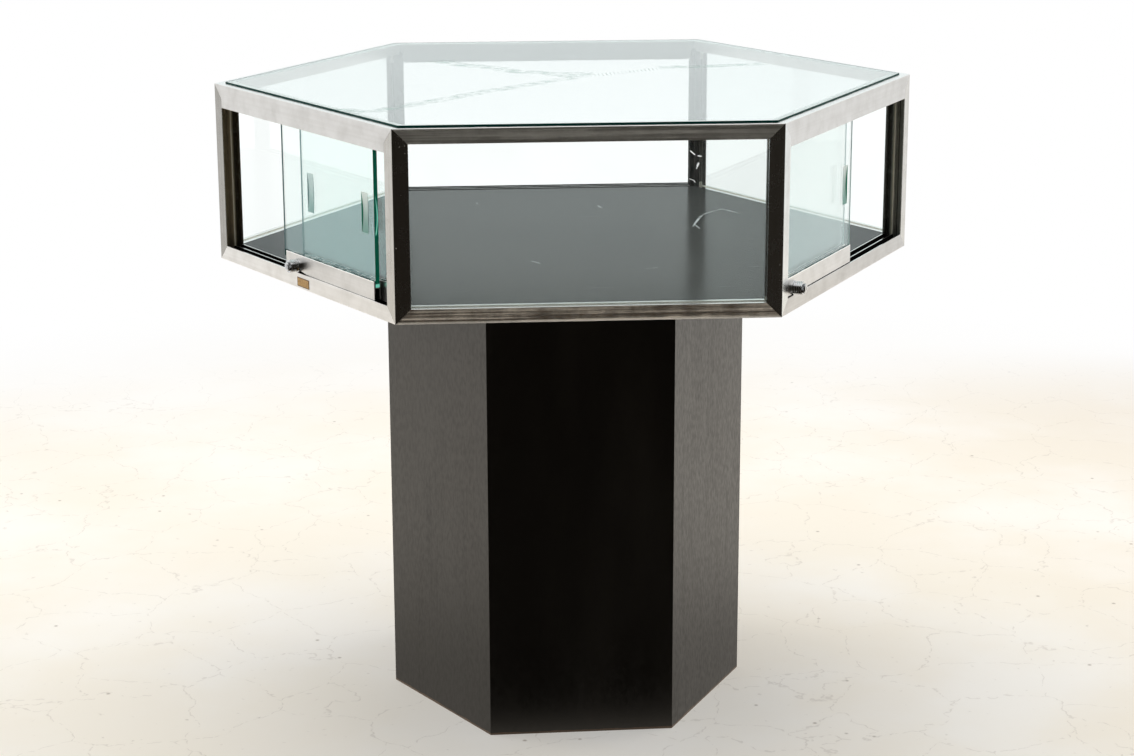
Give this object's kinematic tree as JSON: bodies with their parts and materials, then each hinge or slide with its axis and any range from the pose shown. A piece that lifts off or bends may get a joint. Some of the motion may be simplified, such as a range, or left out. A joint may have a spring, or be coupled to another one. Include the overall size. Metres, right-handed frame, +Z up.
{
  "type": "pedestal display case",
  "caption": "Hexagonal glass display case in an aluminium frame on a narrower hexagonal laminate pedestal, with two pairs of lockable sliding glass doors.",
  "frame": {"origin": "on the floor, under the middle of the case", "axes": "+Z up; -Y is the front, which has a fixed pane; +X to the right as seen from the front, towards a corner of the hexagon"},
  "size_m": [0.9996, 0.866, 0.9135],
  "materials": {
    "frame_aluminium": "brushed satin anodised",
    "shoe_aluminium": "brushed satin anodised",
    "cast_key": "as cast",
    "pedestal_laminate": "satin black laminate on board",
    "deck_laminate": "satin black laminate on board",
    "bare_board": "bare particle board",
    "screw_steel": "zinc plated",
    "pane_glass": "clear float glass, 6 mm",
    "top_glass": "clear float glass, 6 mm, lightly scratched",
    "door_glass": "clear float glass, 6 mm, ground edges",
    "vinyl": "soft vinyl",
    "nylon": "moulded nylon",
    "chrome": "bright chrome plate",
    "lock_plug_metal": "bright chrome plate",
    "label": "aged, bare"
  },
  "bodies": {
    "case": {"pedestal_panel_front": "pedestal_laminate", "pedestal_panel_front_right": "pedestal_laminate", "pedestal_panel_back_right": "pedestal_laminate", "pedestal_panel_back": "pedestal_laminate", "pedestal_panel_back_left": "pedestal_laminate", "pedestal_panel_front_left": "pedestal_laminate", "pedestal_top_board": "bare_board", "pedestal_bottom_board": "bare_board", "pedestal_battens": "bare_board", "deck_screws": "screw_steel", "deck_board": "deck_laminate", "bottom_rail_front": "frame_aluminium", "bottom_track_right": "frame_aluminium", "bottom_rail_back_right": "frame_aluminium", "bottom_track_back": "frame_aluminium", "bottom_rail_back_left": "frame_aluminium", "bottom_track_left": "frame_aluminium", "top_rail_front": "frame_aluminium", "header_right": "frame_aluminium", "top_rail_back_right": "frame_aluminium", "header_back": "frame_aluminium", "top_rail_back_left": "frame_aluminium", "header_left": "frame_aluminium", "post_front_right": "frame_aluminium", "post_right": "frame_aluminium", "post_back_right": "frame_aluminium", "post_back_left": "frame_aluminium", "post_left": "frame_aluminium", "post_front_left": "frame_aluminium", "corner_keys_bottom": "cast_key", "corner_keys_top": "cast_key", "pane_front": "pane_glass", "pane_back_right": "pane_glass", "pane_back_left": "pane_glass", "glazing_seals": "vinyl", "top_glass": "top_glass", "label_plate": "label"},
    "door_left_outer": {"door_glass_left_outer": "door_glass", "door_shoe_left_outer": "shoe_aluminium", "lock_sleeve_left": "chrome"},
    "door_left_inner": {"door_glass_left_inner": "door_glass", "door_shoe_left_inner": "shoe_aluminium"},
    "door_right_outer": {"door_glass_right_outer": "door_glass", "door_shoe_right_outer": "shoe_aluminium", "lock_sleeve_right": "chrome"},
    "door_right_inner": {"door_glass_right_inner": "door_glass", "door_shoe_right_inner": "shoe_aluminium"},
    "roller_left_outer_a": {"roller_left_outer_a": "nylon"},
    "roller_left_outer_b": {"roller_left_outer_b": "nylon"},
    "roller_left_inner_a": {"roller_left_inner_a": "nylon"},
    "roller_left_inner_b": {"roller_left_inner_b": "nylon"},
    "roller_right_outer_a": {"roller_right_outer_a": "nylon"},
    "roller_right_outer_b": {"roller_right_outer_b": "nylon"},
    "roller_right_inner_a": {"roller_right_inner_a": "nylon"},
    "roller_right_inner_b": {"roller_right_inner_b": "nylon"},
    "lock_plunger_left": {"lock_plunger_left": "chrome"},
    "lock_plug_left": {"lock_plug_left": "lock_plug_metal"},
    "lock_plunger_right": {"lock_plunger_right": "chrome"},
    "lock_plug_right": {"lock_plug_right": "lock_plug_metal"}
  },
  "joints": [
    {"name": "door_left_outer_slide", "type": "slide", "parent": "case", "child": "door_left_outer", "axis": [0.5, -0.866, 0], "range_m": [-0.1835, 0.0475]},
    {"name": "door_left_inner_slide", "type": "slide", "parent": "case", "child": "door_left_inner", "axis": [0.5, -0.866, 0], "range_m": [-0.2165, 0.0045]},
    {"name": "door_right_outer_slide", "type": "slide", "parent": "case", "child": "door_right_outer", "axis": [0.5, 0.866, 0], "range_m": [-0.0065, 0.2245]},
    {"name": "door_right_inner_slide", "type": "slide", "parent": "case", "child": "door_right_inner", "axis": [0.5, 0.866, 0], "range_m": [0, 0.221]},
    {"name": "roller_left_outer_a_spin", "type": "hinge", "parent": "door_left_outer", "child": "roller_left_outer_a", "pos_m": [-0.37177, -0.20829, 0.6763], "axis": [0.866, 0.5, 0], "continuous": true},
    {"name": "roller_left_outer_b_spin", "type": "hinge", "parent": "door_left_outer", "child": "roller_left_outer_b", "pos_m": [-0.29502, -0.34123, 0.6763], "axis": [0.866, 0.5, 0], "continuous": true},
    {"name": "roller_left_inner_a_spin", "type": "hinge", "parent": "door_left_inner", "child": "roller_left_inner_a", "pos_m": [-0.34221, -0.2351, 0.6763], "axis": [0.866, 0.5, 0], "continuous": true},
    {"name": "roller_left_inner_b_spin", "type": "hinge", "parent": "door_left_inner", "child": "roller_left_inner_b", "pos_m": [-0.26546, -0.36804, 0.6763], "axis": [0.866, 0.5, 0], "continuous": true},
    {"name": "roller_right_outer_a_spin", "type": "hinge", "parent": "door_right_outer", "child": "roller_right_outer_a", "pos_m": [0.27777, -0.37111, 0.6763], "axis": [-0.866, 0.5, 0], "continuous": true},
    {"name": "roller_right_outer_b_spin", "type": "hinge", "parent": "door_right_outer", "child": "roller_right_outer_b", "pos_m": [0.35452, -0.23817, 0.6763], "axis": [-0.866, 0.5, 0], "continuous": true},
    {"name": "roller_right_inner_a_spin", "type": "hinge", "parent": "door_right_inner", "child": "roller_right_inner_a", "pos_m": [0.26646, -0.3663, 0.6763], "axis": [-0.866, 0.5, 0], "continuous": true},
    {"name": "roller_right_inner_b_spin", "type": "hinge", "parent": "door_right_inner", "child": "roller_right_inner_b", "pos_m": [0.34321, -0.23337, 0.6763], "axis": [-0.866, 0.5, 0], "continuous": true},
    {"name": "lock_plunger_left_push", "type": "slide", "parent": "door_left_outer", "child": "lock_plunger_left", "axis": [0.866, 0.5, 0], "range_m": [0, 0.0045], "stiffness_N_per_m": 150, "springref_m": -0.003},
    {"name": "lock_plug_left_turn", "type": "hinge", "parent": "lock_plunger_left", "child": "lock_plug_left", "pos_m": [-0.39712, -0.2108, 0.689], "axis": [0.866, 0.5, 0], "range_deg": [0, 90]},
    {"name": "lock_plunger_right_push", "type": "slide", "parent": "door_right_outer", "child": "lock_plunger_right", "axis": [-0.866, 0.5, 0], "range_m": [0, 0.0045], "stiffness_N_per_m": 150, "springref_m": -0.003},
    {"name": "lock_plug_right_turn", "type": "hinge", "parent": "lock_plunger_right", "child": "lock_plug_right", "pos_m": [0.28612, -0.40306, 0.689], "axis": [-0.866, 0.5, 0], "range_deg": [0, 90]}
  ],
  "couplings": [
    {"joint": "roller_left_outer_a_spin", "follows": "door_left_outer_slide", "rad_per_m": 142.86},
    {"joint": "roller_left_outer_b_spin", "follows": "door_left_outer_slide", "rad_per_m": 142.86},
    {"joint": "roller_left_inner_a_spin", "follows": "door_left_inner_slide", "rad_per_m": 142.86},
    {"joint": "roller_left_inner_b_spin", "follows": "door_left_inner_slide", "rad_per_m": 142.86},
    {"joint": "roller_right_outer_a_spin", "follows": "door_right_outer_slide", "rad_per_m": 142.86},
    {"joint": "roller_right_outer_b_spin", "follows": "door_right_outer_slide", "rad_per_m": 142.86},
    {"joint": "roller_right_inner_a_spin", "follows": "door_right_inner_slide", "rad_per_m": 142.86},
    {"joint": "roller_right_inner_b_spin", "follows": "door_right_inner_slide", "rad_per_m": 142.86}
  ]
}
